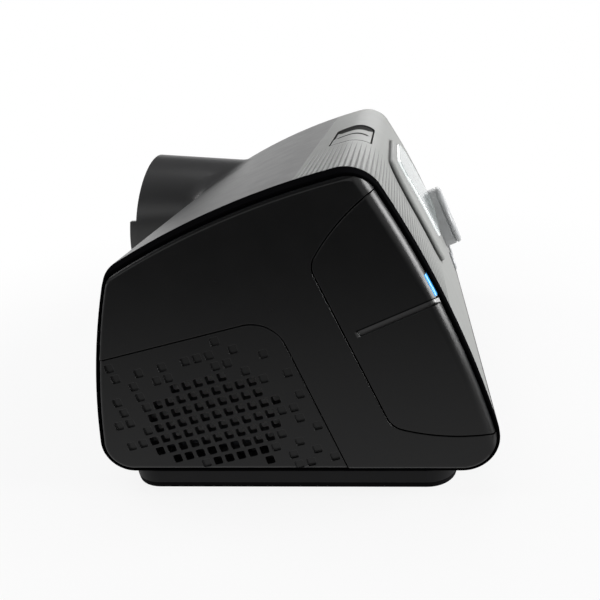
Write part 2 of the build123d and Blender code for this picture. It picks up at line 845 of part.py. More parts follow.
def filter_outline():
    """Region of the filter cover in the end view; it runs past the panel at the rear and below."""
    below = underside - region_past
    slope_back = (filter_foot[0] - filter_crest[0]) / (filter_crest[1] - filter_foot[1])
    foot_y = filter_foot[0] + slope_back * (filter_foot[1] - below)
    rise = (filter_crest[1] - filter_rear[1]) / (filter_rear[0] - filter_crest[0])
    end = filter_rear[0] + region_past
    end_z = filter_rear[1] - rise * region_past
    region = make_face(Polyline((end, end_z), filter_crest, (foot_y, below), (end, below), close=True))
    return rounded(region, filter_crest, filter_crest_round)


def cover_from(region):
    """Skin of the left panel inside a region, less the open seam, with softened seam edges."""
    cover = from_left(mouth_outline(seam_gap), 0, panel_skin)
    cover = fillet(cover.faces().sort_by(Axis.X)[0].edges(), panel_edge_round)
    drawn = inset(region, seam_gap)
    cover &= from_left(drawn, -past, panel_skin + past)
    seam = Pos(-half_width, 0, 0) * (Plane.YZ * drawn)
    edges = [
        edge for edge in cover.faces().sort_by(Axis.X)[0].edges()
        if seam.edges().sort_by_distance(edge @ 0.5)[0].distance_to(edge @ 0.5) < 0.01
    ]
    return fillet(edges, cover_seam_round)


def hinge_line():
    """Upper end of the card cover's film hinge, on the panel's face, and its direction, as (y, z)."""
    along = Vector(card_heel[0] - card_knee[0], card_heel[1] - card_knee[1]).normalized()
    return Vector(*card_knee) + Vector(along.Y, -along.X) * seam_gap, along


def groove_tool():
    """Finger groove: a slot that runs in from the front edge and rises to nothing."""
    start = Vector(*groove_outer)
    end = Vector(*groove_inner)
    along = (end - start).normalized()
    start = start - along * groove_past
    length = (end - start).length
    middle = (start + end) * 0.5
    angle = math.degrees(math.atan2(along.Y, along.X))
    strip = Pos(middle.X, middle.Y) * Rot(0, 0, angle) * Rectangle(length, groove_width)
    return from_left(strip, -past, groove_depth)


def light_outline():
    """Light window along the cover's front edge."""
    start = Vector(*light_top)
    end = Vector(*light_foot)
    middle = (start + end) * 0.5
    along = (end - start).normalized()
    angle = math.degrees(math.atan2(along.Y, along.X))
    return Pos(middle.X, middle.Y) * Rot(0, 0, angle) * Rectangle((end - start).length, light_width)


def make_card_cover():
    """Hinged cover over the memory card."""
    return cover_from(card_outline()) - groove_tool() - from_left(light_outline(), -past, light_depth)


def make_light_window():
    """Translucent strip set into the card cover's front edge."""
    return cover_from(card_outline()) & from_left(light_outline(), -past, light_depth)


def card_slot(grow):
    """Cross-section of the memory card in the end view, lying along the cover's hinge."""
    top, along = hinge_line()
    angle = math.degrees(math.atan2(along.Y, along.X))
    card = Rectangle(card_width + 2 * grow, card_thickness + 2 * grow)
    return Pos(*card_middle) * Rot(0, 0, angle) * card


def bay_outline():
    """Opening of the card bay behind the cover."""
    return inset(card_outline(), bay_rim) & body_outline(flange_inset + bay_wall + bay_frame_gap)


def make_side_panel():
    """Left side panel with the seats of its two covers, the card bay and the filter window."""
    card = card_outline()
    filter_region = filter_outline()
    panel = from_left(mouth_outline(panel_gap), 0, panel_depth)
    panel = fillet(panel.faces().sort_by(Axis.X)[0].edges(), panel_edge_round)
    seat = panel_skin + seam_gap
    panel -= from_left(card, -past, seat)
    panel -= from_left(filter_region, -past, seat)
    bay = bay_outline()
    panel += from_left(offset(bay, amount=bay_wall), seat, bay_depth + bay_wall)
    panel -= from_left(bay, 0, bay_depth)
    panel -= from_left(card_slot(card_clearance), 0, bay_depth + 2 * bay_wall)
    panel -= from_left(filter_window(), 0, panel_depth + past)
    for place in cover_tab_places():
        slot = place * Rectangle(cover_tab_length + 2 * seam_gap, cover_tab_width)
        panel -= from_left(slot, 0, panel_depth + past)
    return panel


def make_memory_card():
    """Removable memory card, pushed into its socket through the bay floor."""
    start = bay_depth - card_proud
    card = from_left(card_slot(0), start, start + card_length)
    return fillet(card.edges().filter_by(Axis.X), card_round)


def make_card_socket():
    """Socket that grips the card behind the bay floor."""
    start = bay_depth + bay_wall
    socket = from_left(card_slot(card_clearance + socket_wall), start, start + socket_length)
    return socket - from_left(card_slot(card_clearance), start - past, start + socket_length - socket_wall)


# ---------------------------------------------------------------- filter cover and filter
def filter_window():
    """Air opening behind the filter cover."""
    inside = inset(filter_outline(), filter_window_rim)
    return inside & body_outline(mouth_inset + filter_window_rim)


def filter_pad_outline():
    """Outline of the filter pad."""
    inside = inset(filter_outline(), filter_pad_rim)
    return inside & body_outline(flange_inset + filter_frame_gap)


def cover_tab_places():
    """Hooks behind the filter cover, along its upper edge."""
    rise = math.degrees(math.atan2(filter_rear[1] - filter_crest[1], filter_rear[0] - filter_crest[0]))
    places = []
    for share in cover_tab_shares:
        y = filter_crest[0] + (filter_rear[0] - filter_crest[0]) * share
        z = filter_crest[1] + (filter_rear[1] - filter_crest[1]) * share - cover_tab_drop
        places.append(Pos(y, z) * Rot(0, 0, rise))
    return places


def grille_square(row, place):
    """One hole of the grille, drawn flat on its lattice site."""
    row_turn = math.radians(180 - grille_row_angle)
    column_turn = math.radians(180 + grille_column_angle)
    y = grille_origin[0] + place * grille_row_pitch * math.cos(row_turn)
    y += row * grille_column_pitch * math.cos(column_turn)
    z = grille_origin[1] + place * grille_row_pitch * math.sin(row_turn)
    z += row * grille_column_pitch * math.sin(column_turn)
    square = RectangleRounded(grille_hole, grille_hole, grille_hole_round)
    return Pos(y, z) * Rot(0, 0, -grille_row_angle) * square


def make_filter_cover():
    """Cover of the air intake: a skewed lattice of square holes that breaks up into stray dimples."""
    cover = cover_from(filter_outline())
    holes = [grille_square(row, place) for row, (first, last) in grille_rows.items()
             for place in range(first, last + 1)]
    dimples = [grille_square(row, place) for row, places in dimple_rows.items() for place in places]
    cover -= [from_left(hole, -past, panel_skin + past) for hole in holes]
    cover -= [from_left(dimple, -past, dimple_depth) for dimple in dimples]
    for place in cover_tab_places():
        tab = Rectangle(cover_tab_length, cover_tab_width - 2 * seam_gap)
        cover += from_left(place * tab, panel_skin - seam_gap, panel_depth - seam_gap)
    return cover


def make_filter_pad():
    """Disposable fibre filter."""
    start = panel_depth + filter_pad_gap
    return from_left(filter_pad_outline(), start, start + filter_pad_depth)


def make_muffler():
    """Inlet muffler: a box behind the filter, with a hole for the elbow."""
    outline = filter_pad_outline()
    box = from_left(offset(outline, amount=muffler_wall + seam_gap), panel_depth, muffler_depth)
    box -= from_left(offset(outline, amount=seam_gap), panel_depth - past, muffler_depth - muffler_wall)
    hole = Pos(elbow_low_y, elbow_low_z) * Circle(elbow_radius - elbow_wall)
    return box - from_left(hole, muffler_depth - 2 * muffler_wall, muffler_depth + past)


def make_foam():
    """Silencing foam inside the muffler."""
    end = muffler_depth - muffler_wall - foam_end_gap
    return from_left(inset(filter_pad_outline(), foam_gap), foam_start, end)


def elbow_pipe(radius):
    """Solid pipe along the elbow's path."""
    points = [
        (muffler_depth - half_width, elbow_low_y, elbow_low_z),
        (elbow_rise_x, elbow_low_y, elbow_low_z),
        (elbow_rise_x, blower_y, elbow_top_z),
        (blower_x, blower_y, elbow_top_z),
        (blower_x, blower_y, scroll_top_z()),
    ]
    path = FilletPolyline(*points, radius=elbow_bend)
    return sweep(Plane(origin=points[0], z_dir=(1, 0, 0)) * Circle(radius), path=path)


def make_elbow():
    """Moulded rubber elbow from the muffler up over the blower to its inlet."""
    return elbow_pipe(elbow_radius) - elbow_pipe(elbow_radius - elbow_wall)


def scroll_low_z():
    """Underside of the blower's scroll."""
    return outlet_z - scroll_height / 2


def scroll_top_z():
    """Top of the blower's scroll."""
    return outlet_z + scroll_height / 2


# ---------------------------------------------------------------- blower
def scroll_solid(clear):
    """Round scroll with its tangential outlet, set in by clear."""
    base = Plane.XY.offset(scroll_low_z() + clear)
    height = scroll_height - 2 * clear
    drum = extrude(base * (Pos(blower_x, blower_y) * Circle(scroll_radius - clear)), amount=height)
    rims = drum.edges().filter_by(GeomType.CIRCLE)
    drum = fillet(rims, scroll_edge_round - clear)
    axis = Plane(origin=(outlet_x, blower_y, outlet_z), z_dir=(0, 1, 0))
    reach = scroll_radius + scroll_duct_reach
    return drum + extrude(axis * Circle(scroll_duct_radius - clear), amount=reach)


def scroll_shell():
    """Whole scroll housing before it is parted at its middle."""
    shell = scroll_solid(0) - scroll_solid(scroll_wall)
    axis = Plane(origin=(outlet_x, blower_y + scroll_radius, outlet_z), z_dir=(0, 1, 0))
    shell -= extrude(axis * Circle(scroll_duct_radius - scroll_wall), amount=far)
    shell -= Pos(blower_x, blower_y, scroll_top_z()) * Cylinder(scroll_inlet_radius, 3 * scroll_wall)
    low = Pos(blower_x, blower_y, scroll_low_z()) * Cylinder(impeller_hub_radius, 3 * scroll_wall)
    return shell - low


def make_impeller():
    """Backward-curved impeller on its hub."""
    base_z = outlet_z - impeller_blade_height / 2
    place = Pos(blower_x, blower_y, base_z)
    plate = Pos(0, 0, -impeller_plate) * post(impeller_radius, impeller_plate)
    hub = post(impeller_hub_radius, impeller_blade_height)
    root = (blade_root_radius, 0)
    tip_angle = math.radians(blade_tip_angle)
    tip = (impeller_radius * math.cos(tip_angle), impeller_radius * math.sin(tip_angle))
    bow_angle = math.radians(blade_bow_angle)
    bow_radius = (impeller_radius + impeller_hub_radius) / 2
    bow = (bow_radius * math.cos(bow_angle), bow_radius * math.sin(bow_angle))
    line = ThreePointArc(root, bow, tip)
    blade_face = trace(line, impeller_blade_thickness)
    blade = extrude(blade_face, amount=impeller_blade_height)
    wheel = plate + hub
    for turn in range(impeller_blades):
        wheel += Rot(0, 0, turn * 360 / impeller_blades) * blade
    wheel &= Cylinder(impeller_radius, far)
    wheel -= Cylinder(motor_shaft_radius, far)
    return place * wheel


def motor_top_z():
    """Mounting face of the motor, under the scroll."""
    return scroll_low_z()


def make_motor():
    """Brushless motor hung under the scroll."""
    can = post(motor_radius, motor_height)
    can = fillet(can.edges().filter_by(GeomType.CIRCLE).sort_by(Axis.Z)[0], motor_edge_round)
    bore = Pos(0, 0, motor_floor) * post(motor_shaft_radius + motor_shaft_clearance, motor_height)
    return Pos(blower_x, blower_y, motor_top_z() - motor_height) * (can - bore)


def make_motor_shaft():
    """Shaft of the motor, pressed into the impeller."""
    top = outlet_z + impeller_blade_height / 2
    foot = motor_top_z() - motor_height + motor_floor + motor_shaft_gap
    return Pos(blower_x, blower_y, foot) * post(motor_shaft_radius, top - foot)


def mount_places(z):
    """Where the rubber mounts stand under the motor, at a height."""
    places = []
    for turn in range(mount_count):
        angle = math.radians(90 + turn * 360 / mount_count)
        x = blower_x + mount_circle * math.cos(angle)
        y = blower_y + mount_circle * math.sin(angle)
        places.append(Pos(x, y, z))
    return places


def make_blower_mounts():
    """Rubber mounts between the tray and the motor."""
    foot = sole_height + wall
    top = motor_top_z() - motor_height
    mounts = Part()
    for place in mount_places(foot):
        mounts += place * post(mount_radius, top - foot)
    return mounts


# ---------------------------------------------------------------- electronics
def board_low_z():
    """The main board lies on the screw bosses."""
    return sole_height + wall + screw_length


def make_main_board():
    """Main board on the floor of the tray, with its larger parts."""
    length = board_right_x - board_left_x
    depth = board_rear_y - board_front_y
    middle = Pos((board_left_x + board_right_x) / 2, (board_front_y + board_rear_y) / 2, board_low_z())
    board = extrude(middle * Rectangle(length, depth), amount=board_thickness)
    for place in mount_places(board_low_z()):
        board -= place * Cylinder(mount_radius + board_hole_gap, far)
    top = board_low_z() + board_thickness
    for x, y, side, height in board_blocks:
        board += extrude(Pos(x, y, top) * Rectangle(side, side), amount=height)
    return board


def make_power_inlet():
    """Round low-voltage inlet with three contact pins."""
    plane = jack_plane()
    shell = extrude(plane.offset(-jack_recess) * Circle(jack_radius + jack_wall), amount=-jack_depth)
    shell -= extrude(plane * Circle(jack_radius), amount=-(jack_depth - jack_wall))
    floor = plane.offset(-(jack_depth - jack_wall))
    for turn in range(jack_pins):
        spot = Rot(0, 0, 90 + turn * 360 / jack_pins) * Pos(jack_pin_circle, 0) * Circle(jack_pin_radius)
        shell += extrude(floor * spot, amount=jack_pin_length)
    return shell


def make_port_cover():
    """Push-in cover of the data port."""
    back = port_plane().offset(-wall)
    gap = port_cover_gap
    plate = RectangleRounded(port_length - 2 * gap, port_height - 2 * gap, port_corner - gap)
    inside = 2 * (port_wall + port_plug_gap)
    plug = RectangleRounded(port_length - inside, port_height - inside, port_corner / 2)
    return extrude(back * plate, amount=wall) + extrude(back * plug, amount=-port_plug_reach)


def make_port():
    """Data connector behind its cover."""
    mouth = port_plane().offset(-wall - port_plug_gap)
    block = extrude(mouth * Rectangle(port_length, port_height), amount=-port_depth)
    hollow = Rectangle(port_length - 2 * port_wall, port_height - 2 * port_wall)
    return block - extrude(mouth * hollow, amount=port_wall - port_depth)


# ---------------------------------------------------------------- write every node
os.makedirs("parts", exist_ok=True)

right_ring = make_end_ring()
left_ring = mirror(right_ring, about=Plane.YZ)
trim = trim_region()

write("rubber_sole", make_sole())
write("lower_case", make_tray())
write("case_screws", make_case_screws())
write("rear_cover", make_rear_cover())
write("outlet_tube", make_outlet_tube())
write("outlet_boot", make_outlet_boot())
write("front_fascia", make_fascia())
write("start_key", make_start_key())
write("screen_window", make_screen_window())
write("display_module", make_display())
write("face_board", make_face_board())
write("push_dial", make_dial())
write("dial_shaft", make_dial_shaft())
write("dial_slider", make_dial_slider())
write("dial_encoder", make_encoder())
info_plane, setup_plane = button_planes()
write("info_button", make_button(info_plane))
write("setup_button", make_button(setup_plane))
write("left_front_trim", left_ring & trim)
write("left_end_frame", left_ring - trim)
write("right_front_trim", right_ring & trim)
write("right_end_frame", right_ring - trim)
write("right_side_panel", make_right_panel())
write("left_side_panel", make_side_panel())
write("card_cover", make_card_cover())
write("card_light_window", make_light_window())
write("memory_card", make_memory_card())
write("card_socket", make_card_socket())
write("filter_cover", make_filter_cover())
write("air_filter", make_filter_pad())
write("inlet_muffler", make_muffler())
write("muffler_foam", make_foam())
write("inlet_elbow", make_elbow())
middle_cut = Plane.XY.offset(outlet_z)
scroll = scroll_shell()
write("blower_scroll_upper", split(scroll, bisect_by=middle_cut, keep=Keep.TOP))
write("blower_scroll_lower", split(scroll, bisect_by=middle_cut, keep=Keep.BOTTOM))
write("impeller", make_impeller())
write("motor", make_motor())
write("motor_shaft", make_motor_shaft())
write("blower_mounts", make_blower_mounts())
write("main_board", make_main_board())
write("power_inlet", make_power_inlet())
write("data_port", make_port())
write("data_port_cover", make_port_cover())
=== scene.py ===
import bpy
import math
from mathutils import Matrix, Vector


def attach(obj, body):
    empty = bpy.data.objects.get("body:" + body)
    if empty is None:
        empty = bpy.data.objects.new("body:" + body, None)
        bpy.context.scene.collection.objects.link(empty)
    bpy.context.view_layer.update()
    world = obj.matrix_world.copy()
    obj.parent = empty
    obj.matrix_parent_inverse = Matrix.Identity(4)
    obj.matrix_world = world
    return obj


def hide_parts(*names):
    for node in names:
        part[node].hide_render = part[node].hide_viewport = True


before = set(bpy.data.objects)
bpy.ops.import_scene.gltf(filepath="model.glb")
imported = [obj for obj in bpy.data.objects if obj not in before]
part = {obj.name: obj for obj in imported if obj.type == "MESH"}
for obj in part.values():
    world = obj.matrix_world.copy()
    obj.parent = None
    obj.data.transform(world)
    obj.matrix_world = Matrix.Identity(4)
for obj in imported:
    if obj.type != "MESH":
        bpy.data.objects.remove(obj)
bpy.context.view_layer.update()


# ---- Rear cover with the hose shroud
# One dark grey ABS moulding that forms the sloping roof and is drawn out at the back into a round
# socket for the hose. It has a fine spark-eroded grain and meets the lower case round the socket.
def moulding(name, colour, roughness, specular=0.5, grain=0.0003, relief=0.00002, mottle=0.04, edge=0.0002):
    """Moulded plastic: spark-eroded grain, flow marks, uneven sheen and soft edges. Sizes in metres."""
    finish = bpy.data.materials.new(name)
    finish.use_nodes = True
    tree = finish.node_tree
    plastic = tree.nodes["Principled BSDF"]
    plastic.inputs["Specular IOR Level"].default_value = specular
    place = tree.nodes.new("ShaderNodeTexCoord")

    flow = tree.nodes.new("ShaderNodeTexNoise")
    flow.inputs["Scale"].default_value = 55.0
    flow.inputs["Detail"].default_value = 3.0
    tree.links.new(place.outputs["Object"], flow.inputs["Vector"])
    tone = tree.nodes.new("ShaderNodeValToRGB")
    tone.color_ramp.elements[0].position = 0.3
    tone.color_ramp.elements[0].color = [c * (1 - mottle) for c in colour] + [1]
    tone.color_ramp.elements[1].position = 0.7
    tone.color_ramp.elements[1].color = [min(c * (1 + mottle), 1) for c in colour] + [1]
    tree.links.new(flow.outputs["Fac"], tone.inputs["Fac"])
    tree.links.new(tone.outputs["Color"], plastic.inputs["Base Color"])

    wear = tree.nodes.new("ShaderNodeTexNoise")
    wear.inputs["Scale"].default_value = 160.0
    wear.inputs["Detail"].default_value = 4.0
    tree.links.new(place.outputs["Object"], wear.inputs["Vector"])
    sheen = tree.nodes.new("ShaderNodeMapRange")
    sheen.inputs["To Min"].default_value = roughness - 0.05
    sheen.inputs["To Max"].default_value = roughness + 0.05
    tree.links.new(wear.outputs["Fac"], sheen.inputs["Value"])
    tree.links.new(sheen.outputs["Result"], plastic.inputs["Roughness"])

    sparks = tree.nodes.new("ShaderNodeTexNoise")
    sparks.inputs["Scale"].default_value = 1 / grain
    sparks.inputs["Detail"].default_value = 2.0
    tree.links.new(place.outputs["Object"], sparks.inputs["Vector"])
    skin = tree.nodes.new("ShaderNodeBump")
    skin.inputs["Strength"].default_value = 0.6
    skin.inputs["Distance"].default_value = relief
    tree.links.new(sparks.outputs["Fac"], skin.inputs["Height"])
    soft_edge = tree.nodes.new("ShaderNodeBevel")
    soft_edge.samples = 6
    soft_edge.inputs["Radius"].default_value = edge
    tree.links.new(soft_edge.outputs["Normal"], skin.inputs["Normal"])
    tree.links.new(skin.outputs["Normal"], plastic.inputs["Normal"])
    return finish


def finish_part(node, finish):
    """Give a CAD part its finish."""
    slots = part[node].data.materials
    slots.clear()
    slots.append(finish)


grey_cover = moulding("grey_cover", (0.05, 0.05, 0.051), 0.34, 0.75)
finish_part("rear_cover", grey_cover)


# ---- Lower case
# The black tray under the machine: floor, plinth, chin and rear wall in one ABS moulding, with a
# slightly coarser grain than the panels. Four steel screws stand in the bosses of its plinth.
black_case = moulding("black_case", (0.005, 0.005, 0.006), 0.5, 0.25, grain=0.0004, relief=0.00003)
finish_part("lower_case", black_case)
finish_part("data_port_cover", black_case)


# ---- Rubber sole
# A band of soft black rubber under the rim of the plinth. It is dull, with a pebbled skin that
# keeps the machine from sliding on a bedside table.
rubber = moulding("sole_rubber", (0.004, 0.004, 0.0045), 0.8, 0.08, grain=0.0009, relief=0.0001)
finish_part("rubber_sole", rubber)


# ---- End frames and front trims
# Smooth black frames round both ends with hardly any sheen, so that they read as a dark rim. The
# front pieces run from the roof seam over the brow and down beside the silver fascia.
black_frame = moulding("black_frame", (0.004, 0.004, 0.0045), 0.3, 0.0, grain=0.0003, relief=0.000008)
for node in ("left_front_trim", "left_end_frame", "right_front_trim", "right_end_frame"):
    finish_part(node, black_frame)


# ---- Side panels, card cover and filter cover
# Semi-gloss black ABS panels with a very fine grain and softened edges. The card cover hangs on a
# film hinge, and the filter cover has hooks behind its upper edge.
def panel_black(name):
    """Semi-gloss black of the end panels and their covers."""
    return moulding(name, (0.005, 0.005, 0.0055), 0.3, 0.5, grain=0.00025, relief=0.000012, edge=0.0003)


black_panel = panel_black("black_panel")
for node in ("left_side_panel", "right_side_panel", "filter_cover"):
    finish_part(node, black_panel)


# ---- Silver fascia and start key
# The front shell is painted satin silver over its fine moulded ribs. The start key is a flexing
# tongue cut into the roof of the same shell, so the ribs run on across it.
# Shade is painted into the rib grooves, and shadow into two crescents on the start key.
darkest = 0.05               # share of its colour that the deepest groove keeps
circle_edge = 0.0004         # half the width of the soft edge round a painted circle
rib_reach = 0.0011           # about the width of a groove
# How strongly the painted shade darkens the bottom of a groove.
groove_painted_shade = -1.2
well_shadow = (0.01, 0.01, 0.01, 1)
key_middle_y = -0.0155
well_shadow_share = 0.92


def calculate(tree, operation, *values):
    """One Math node over sockets and numbers."""
    node = tree.nodes.new("ShaderNodeMath")
    node.operation = operation
    for slot, value in zip(node.inputs, values):
        if isinstance(value, (int, float)):
            slot.default_value = value
        else:
            tree.links.new(value, slot)
    return node.outputs["Value"]


def shade(finish, amount, dark):
    """Multiply a finish's colour by a grey that falls from 1 to dark as the amount goes from 0 to 1."""
    tree = finish.node_tree
    skin = tree.nodes["Principled BSDF"].inputs["Base Color"]
    tone = skin.links[0].from_socket
    grey = tree.nodes.new("ShaderNodeMapRange")
    grey.inputs["To Min"].default_value = 1.0
    grey.inputs["To Max"].default_value = dark
    tree.links.new(amount, grey.inputs["Value"])
    shaded = tree.nodes.new("ShaderNodeVectorMath")
    shaded.operation = "SCALE"
    tree.links.new(tone, shaded.inputs[0])
    tree.links.new(calculate(tree, "MAXIMUM", grey.outputs["Result"], darkest), shaded.inputs["Scale"])
    tree.links.new(shaded.outputs["Vector"], skin)


def from_axis(tree, centre, across):
    """Distance from an axis; across is 1 for the two directions that count and 0 along the axis."""
    place = tree.nodes.new("ShaderNodeTexCoord")
    offset = tree.nodes.new("ShaderNodeVectorMath")
    offset.operation = "SUBTRACT"
    offset.inputs[1].default_value = centre
    tree.links.new(place.outputs["Object"], offset.inputs[0])
    flat = tree.nodes.new("ShaderNodeVectorMath")
    flat.operation = "MULTIPLY"
    flat.inputs[1].default_value = across
    tree.links.new(offset.outputs["Vector"], flat.inputs[0])
    far_off = tree.nodes.new("ShaderNodeVectorMath")
    far_off.operation = "LENGTH"
    tree.links.new(flat.outputs["Vector"], far_off.inputs[0])
    return far_off.outputs["Value"]


def soft_step(tree, value, soft):
    """0 below zero and 1 above it, over a soft edge in metres."""
    step = tree.nodes.new("ShaderNodeMapRange")
    step.inputs["From Min"].default_value = -soft
    step.inputs["From Max"].default_value = soft
    tree.links.new(value, step.inputs["Value"])
    return step.outputs["Result"]


def crescent(tree, outer, inner):
    """1 inside the outer circle and outside the inner one, in plan; each is (x, y, radius)."""
    shares = []
    for circle, side in ((outer, 1), (inner, -1)):
        reach = from_axis(tree, (circle[0], circle[1], 0), (1, 1, 0))
        inward = calculate(tree, "MULTIPLY", calculate(tree, "SUBTRACT", circle[2], reach), side)
        shares.append(soft_step(tree, inward, circle_edge))
    return calculate(tree, "MINIMUM", *shares)


def grooved(finish, reach, dark):
    """Painted shade: the colour darkens in the bottom of grooves no wider than the reach, where little light
    gets in.
    """
    hollow = finish.node_tree.nodes.new("ShaderNodeAmbientOcclusion")
    hollow.samples = 8
    hollow.inputs["Distance"].default_value = reach
    shade(finish, calculate(finish.node_tree, "SUBTRACT", 1.0, hollow.outputs["AO"]), dark)
    return finish


def paint_shadow(finish, amount, depth):
    """Painted shadow: a dull dark shader mixed in where the amount is 1, standing in for the shade of a well
    that light hardly reaches.
    """
    tree = finish.node_tree
    painted = tree.nodes["Principled BSDF"]
    shadow = tree.nodes.new("ShaderNodeBsdfDiffuse")
    shadow.inputs["Color"].default_value = well_shadow
    well = tree.nodes.new("ShaderNodeMixShader")
    tree.links.new(calculate(tree, "MULTIPLY", amount, depth), well.inputs["Fac"])
    tree.links.new(painted.outputs["BSDF"], well.inputs[1])
    tree.links.new(shadow.outputs["BSDF"], well.inputs[2])
    tree.links.new(well.outputs["Shader"], tree.nodes["Material Output"].inputs["Surface"])


def satin_silver(name):
    """Satin silver paint, with shade painted into the grooves between the ribs."""
    paint = moulding(name, (0.34, 0.345, 0.335), 0.42, 0.06, grain=0.00012, relief=0.000006, mottle=0.02)
    return grooved(paint, rib_reach, groove_painted_shade)


finish_part("front_fascia", satin_silver("silver_paint"))
key_silver = satin_silver("key_silver")
key_tree = key_silver.node_tree
# Two crescents of painted shadow on the key: the shade of a well at its tip and of a finger scoop behind it.
tip_well_shadow = crescent(key_tree, (0.0051, key_middle_y, 0.0063), (-0.0045, key_middle_y, 0.0066))
finger_scoop_shadow = crescent(key_tree, (-0.0107, key_middle_y, 0.0052), (-0.0167, key_middle_y, 0.0056))
paint_shadow(key_silver, calculate(key_tree, "MAXIMUM", tip_well_shadow, finger_scoop_shadow), well_shadow_share)
finish_part("start_key", key_silver)


# ---- Rolled front edge of the end panels
# Both end panels and the card cover roll over towards the front trim. Their mouldings are nearly
# flat there, so the finish turns the light as a roll of a few millimetres does.
face_rim = (0.206188, -0.056737, 0.268365, 0.0036)      # y, z, radius and width of the roll
foot_rim = (-0.061403, -0.114886, 0.204264, 0.0012)
roll_lean = 1.25             # radians at the very edge
roll_fade_in = 8.0           # the roll sets in over one part in this many of its width
end_face_least = 0.2         # faces that turn less than this towards the end keep their own normal
end_face_soft = 0.05
grip_edge_width = 0.0003     # from the middle of the line to its side
grip_floor_width = 0.0007
grip_polish = 1.1            # gloss that the groove's floor has over the cover's own
grip_shadow = 0.95           # share of the groove's edge that lies in shadow


def rolled_edge(finish, rims, lean):
    """Turn the end faces over towards circles about an X axis. A rim is (y, z, radius, width)."""
    tree = finish.node_tree
    grain = tree.nodes["Principled BSDF"].inputs["Normal"].links[0].from_node
    normal = grain.inputs["Normal"].links[0].from_socket
    mesh = tree.nodes.new("ShaderNodeNewGeometry")
    true_parts = tree.nodes.new("ShaderNodeSeparateXYZ")
    tree.links.new(mesh.outputs["True Normal"], true_parts.inputs["Vector"])
    place = tree.nodes.new("ShaderNodeTexCoord")
    place_parts = tree.nodes.new("ShaderNodeSeparateXYZ")
    tree.links.new(place.outputs["Object"], place_parts.inputs["Vector"])
    end = calculate(tree, "SIGN", place_parts.outputs["X"])
    outward_share = calculate(tree, "MULTIPLY", true_parts.outputs["X"], end)
    end_face = soft_step(tree, calculate(tree, "SUBTRACT", outward_share, end_face_least), end_face_soft)
    for y, z, radius, width in rims:
        reach = from_axis(tree, (0, y, z), (0, 1, 1))
        gap = calculate(tree, "SUBTRACT", radius, reach)
        share = calculate(tree, "DIVIDE", calculate(tree, "SUBTRACT", width, gap), width)
        share = calculate(tree, "MINIMUM", calculate(tree, "MAXIMUM", share, 0.0), 1.0)
        angle = calculate(tree, "MULTIPLY", share, lean)
        outward = calculate(tree, "DIVIDE", calculate(tree, "SINE", angle), reach)
        turned = tree.nodes.new("ShaderNodeCombineXYZ")
        sideways = calculate(tree, "MULTIPLY", calculate(tree, "COSINE", angle), end)
        tree.links.new(sideways, turned.inputs["X"])
        for axis, centre in (("Y", y), ("Z", z)):
            offset = calculate(tree, "SUBTRACT", place_parts.outputs[axis], centre)
            tree.links.new(calculate(tree, "MULTIPLY", offset, outward), turned.inputs[axis])
        fade_in = calculate(tree, "MINIMUM", calculate(tree, "MULTIPLY", share, roll_fade_in), 1.0)
        near = calculate(tree, "MULTIPLY", fade_in, end_face)
        choice = tree.nodes.new("ShaderNodeMix")
        choice.data_type = "VECTOR"
        tree.links.new(near, choice.inputs["Factor"])
        tree.links.new(normal, choice.inputs[4])
        tree.links.new(turned.outputs["Vector"], choice.inputs[5])
        normal = choice.outputs[1]
    tree.links.new(normal, grain.inputs["Normal"])


def from_segment(tree, start, end):
    """Distance in the end view from a straight piece between two (y, z) points."""
    place = tree.nodes.new("ShaderNodeTexCoord")
    offset = tree.nodes.new("ShaderNodeVectorMath")
    offset.operation = "SUBTRACT"
    offset.inputs[1].default_value = (0, *start)
    tree.links.new(place.outputs["Object"], offset.inputs[0])
    run = Vector((0, end[0] - start[0], end[1] - start[1]))
    length = run.length
    along = tree.nodes.new("ShaderNodeVectorMath")
    along.operation = "DOT_PRODUCT"
    along.inputs[1].default_value = run / length
    tree.links.new(offset.outputs["Vector"], along.inputs[0])
    across = tree.nodes.new("ShaderNodeVectorMath")
    across.operation = "DOT_PRODUCT"
    across.inputs[1].default_value = (0, -run.z / length, run.y / length)
    tree.links.new(offset.outputs["Vector"], across.inputs[0])
    before = calculate(tree, "MULTIPLY", along.outputs["Value"], -1.0)
    past = calculate(tree, "SUBTRACT", along.outputs["Value"], length)
    beyond = calculate(tree, "MAXIMUM", calculate(tree, "MAXIMUM", before, past), 0.0)
    beside = calculate(tree, "ABSOLUTE", across.outputs["Value"])
    return calculate(tree, "MAXIMUM", beside, beyond)


card_black = panel_black("card_cover_black")
card_tree = card_black.node_tree
finish_part("card_cover", card_black)
# Painted shadow runs along the upper edge of the card cover's finger groove; the groove's floor beside it
# gets extra gloss.
grip_edge = from_segment(card_tree, (-0.0183, 0.0463), (-0.0407, 0.0559))
grip_edge_shadow = soft_step(card_tree, calculate(card_tree, "SUBTRACT", grip_edge_width, grip_edge), 0.0001)
paint_shadow(card_black, grip_edge_shadow, grip_shadow)
grip_floor = from_segment(card_tree, (-0.0186, 0.0456), (-0.0410, 0.0552))
light_floor = soft_step(card_tree, calculate(card_tree, "SUBTRACT", grip_floor_width, grip_floor), 0.0002)
polish = calculate(card_tree, "MULTIPLY_ADD", light_floor, grip_polish, 0.5)
card_tree.links.new(polish, card_tree.nodes["Principled BSDF"].inputs["Specular IOR Level"])
for finish in (black_panel, card_black):
    rolled_edge(finish, (face_rim, foot_rim), roll_lean)


# ---- Push dial and menu buttons
# The dial is a thick turned-looking cap in satin silver paint with a thin groove round its edge.
# The two small buttons below it are gloss silver caps that stand a little proud of the fascia.
dial_paint = moulding("dial_paint", (0.5, 0.51, 0.515), 0.3, 0.5, grain=0.0002, relief=0.000006, mottle=0.02)
finish_part("push_dial", dial_paint)
button_silver = (0.52, 0.53, 0.54)
button_paint = moulding("button_paint", button_silver, 0.18, 0.5, grain=0.0004, relief=0.000003, mottle=0.02)
finish_part("info_button", button_paint)
finish_part("setup_button", button_paint)


